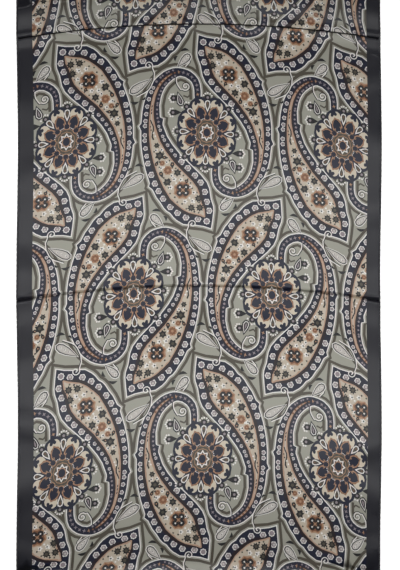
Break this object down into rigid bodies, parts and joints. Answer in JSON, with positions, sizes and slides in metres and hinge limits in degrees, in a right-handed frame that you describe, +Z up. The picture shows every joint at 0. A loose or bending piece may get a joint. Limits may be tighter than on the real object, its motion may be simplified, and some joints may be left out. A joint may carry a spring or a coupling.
{
  "type": "silk shawl",
  "caption": "Oblong printed silk shawl laid flat in one layer: paisley field, plain dark band along each long edge, narrow rolled hems, soft storage folds.",
  "frame": {"origin": "middle of the laid shawl's outline, on the surface that it rests on", "axes": "+Z up out of the printed face, +Y along the length, +X across the width to the right as seen from above"},
  "size_m": [0.5524, 1.6099, 0.0076],
  "materials": {
    "printed_silk": "satin",
    "charcoal_silk": "satin"
  },
  "bodies": {
    "root": {"cloth_panel": "printed_silk", "hem_left": "charcoal_silk", "hem_right": "charcoal_silk", "hem_top": "charcoal_silk", "hem_bottom": "charcoal_silk"}
  },
  "joints": []
}
